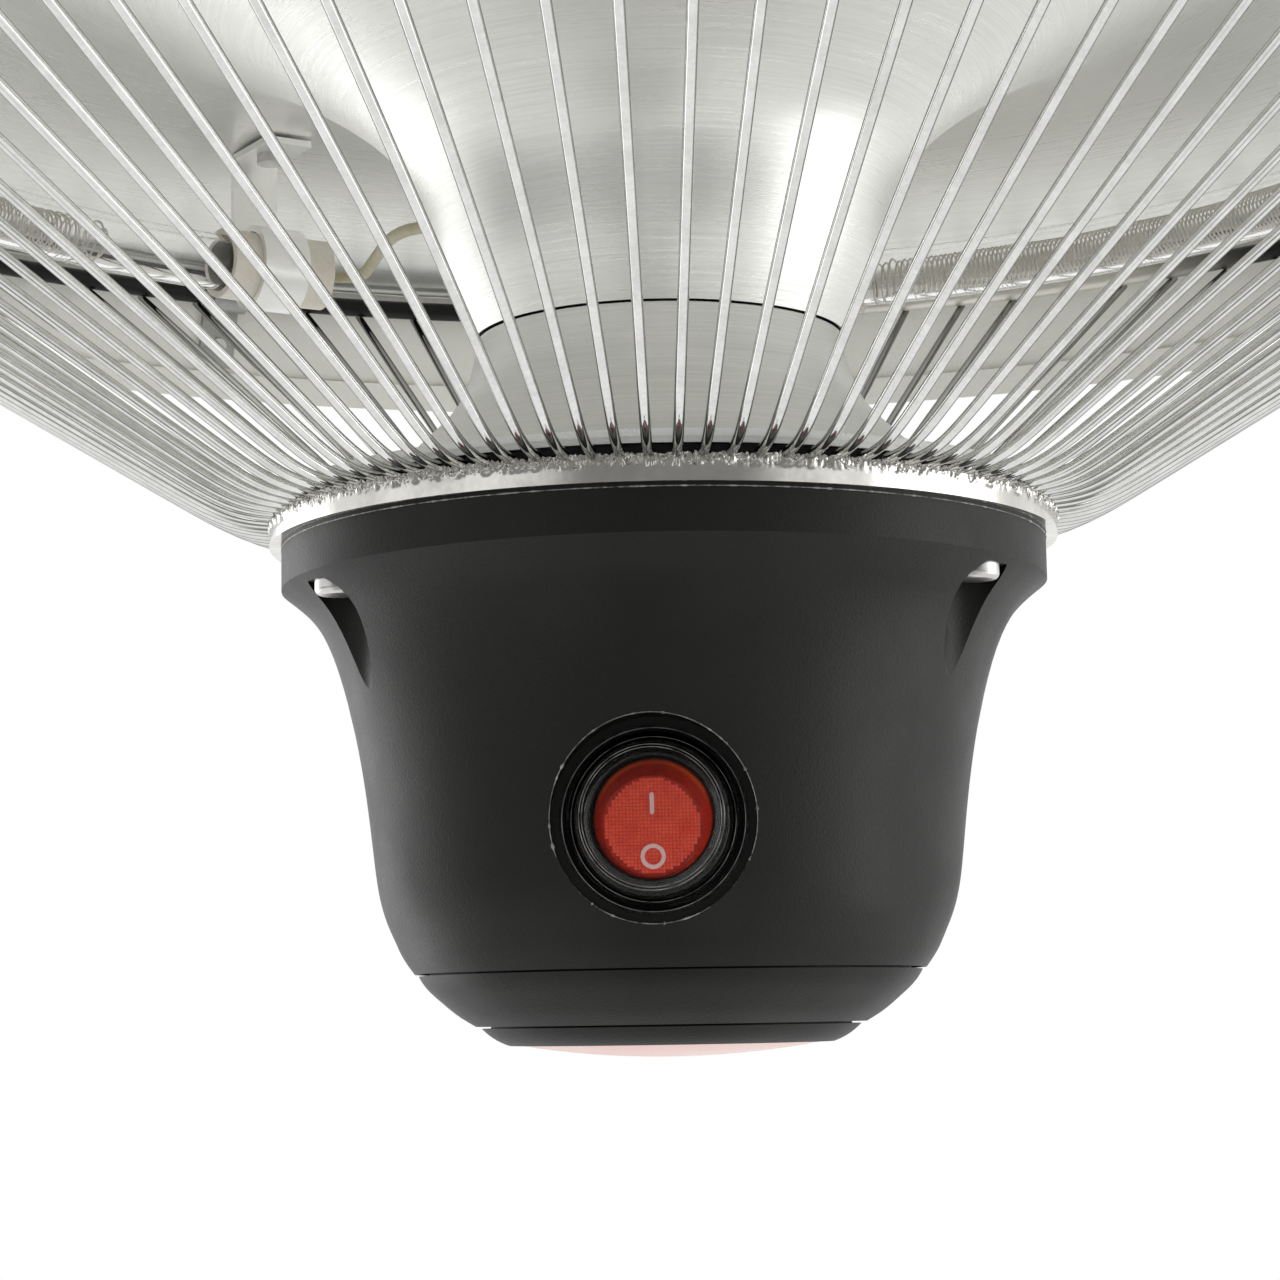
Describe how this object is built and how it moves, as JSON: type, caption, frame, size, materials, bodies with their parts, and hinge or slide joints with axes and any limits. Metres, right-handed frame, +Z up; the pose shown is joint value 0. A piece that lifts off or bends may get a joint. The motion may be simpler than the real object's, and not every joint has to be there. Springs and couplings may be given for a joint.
{
  "type": "ceiling infrared heater",
  "caption": "Hanging infrared heater: domed reflector over half-ring quartz tubes, a cone of guard wires and a black control housing with a rocker switch; it swings in its bail.",
  "frame": {"origin": "centre of the hole in the hanging bail's crown, where a ceiling hook or bolt holds the heater", "axes": "+Z up along the heater's axis, -Y towards the mains switch, X along the bail's pivots"},
  "size_m": [0.426, 0.426, 0.2514],
  "materials": {
    "black_moulding": "fine-grained matte black moulding",
    "black_gloss": "glossy black moulding",
    "rocker_red": "translucent red, waffle-textured face",
    "clear_boot": "clear soft cover",
    "lens_pink": "translucent, frosted",
    "guard_chrome": "bright plated wire",
    "polished_aluminium": "spun, mirror polished with fine rings",
    "brushed_aluminium": "brushed round the axis",
    "shell_paint": "satin stoved paint",
    "zinc_steel": "bright zinc plate",
    "black_steel": "black coated sheet",
    "quartz": "clear fused quartz",
    "heating_wire": "dull coiled resistance wire",
    "ceramic": "unglazed ceramic",
    "lead_sleeving": "braided glass-fibre sleeving",
    "wire_black": "insulated wire",
    "insulator": "black heat-resistant board",
    "board_green": "glass-fibre board with solder mask",
    "component_blue": "moulded relay case",
    "connector_green": "moulded connector",
    "terminal_white": "moulded terminal block",
    "brass_blade": "plain brass",
    "dark_component": "dark moulded receiver",
    "led_red": "red signal lamp"
  },
  "bodies": {
    "hanger": {"hanging_bail": "zinc_steel"},
    "heater": {"saddle_bracket": "zinc_steel", "pivot_screws": "zinc_steel", "pivot_nuts": "zinc_steel", "centre_tube": "zinc_steel", "tube_nuts": "zinc_steel", "top_cap": "black_moulding", "cap_posts": "zinc_steel", "cap_screws": "zinc_steel", "cable_gland": "black_gloss", "gland_nut": "black_gloss", "gland_locknut": "black_gloss", "terminal_block": "terminal_white", "dome_shell": "shell_paint", "reflector": "polished_aluminium", "reflector_posts": "zinc_steel", "lamp_tubes": "quartz", "lamp_coils": "heating_wire", "lamp_caps": "ceramic", "lamp_brackets": "zinc_steel", "tube_clips": "zinc_steel", "bracket_screws": "zinc_steel", "lamp_leads": "lead_sleeving", "lead_grommets": "ceramic", "supply_wires": "wire_black", "base_plate": "black_steel", "insulating_ring": "insulator", "hub_sleeve": "brushed_aluminium", "guard_inner_ring": "guard_chrome", "guard_bars": "guard_chrome", "guard_outer_ring": "guard_chrome", "guard_clips": "black_steel", "clip_screws": "zinc_steel", "housing_body": "black_moulding", "housing_screws": "zinc_steel", "housing_lower_ring": "black_moulding", "lens_bezel": "black_moulding", "lens": "lens_pink", "switch_frame": "black_gloss", "switch_boot": "clear_boot", "switch_terminals": "brass_blade", "control_board": "board_green", "board_screws": "zinc_steel", "relays": "component_blue", "board_connectors": "connector_green", "ir_receiver": "dark_component", "indicator_leds": "led_red"},
    "rocker": {"rocker": "rocker_red"}
  },
  "joints": [
    {"name": "heater_swing", "type": "hinge", "parent": "hanger", "child": "heater", "pos_m": [0, 0, -0.034], "axis": [1, 0, 0], "range_deg": [-40, 40]},
    {"name": "rocker_tilt", "type": "hinge", "parent": "heater", "child": "rocker", "pos_m": [0, -0.041, -0.215], "axis": [-1, 0, 0], "range_deg": [0, 20]}
  ]
}
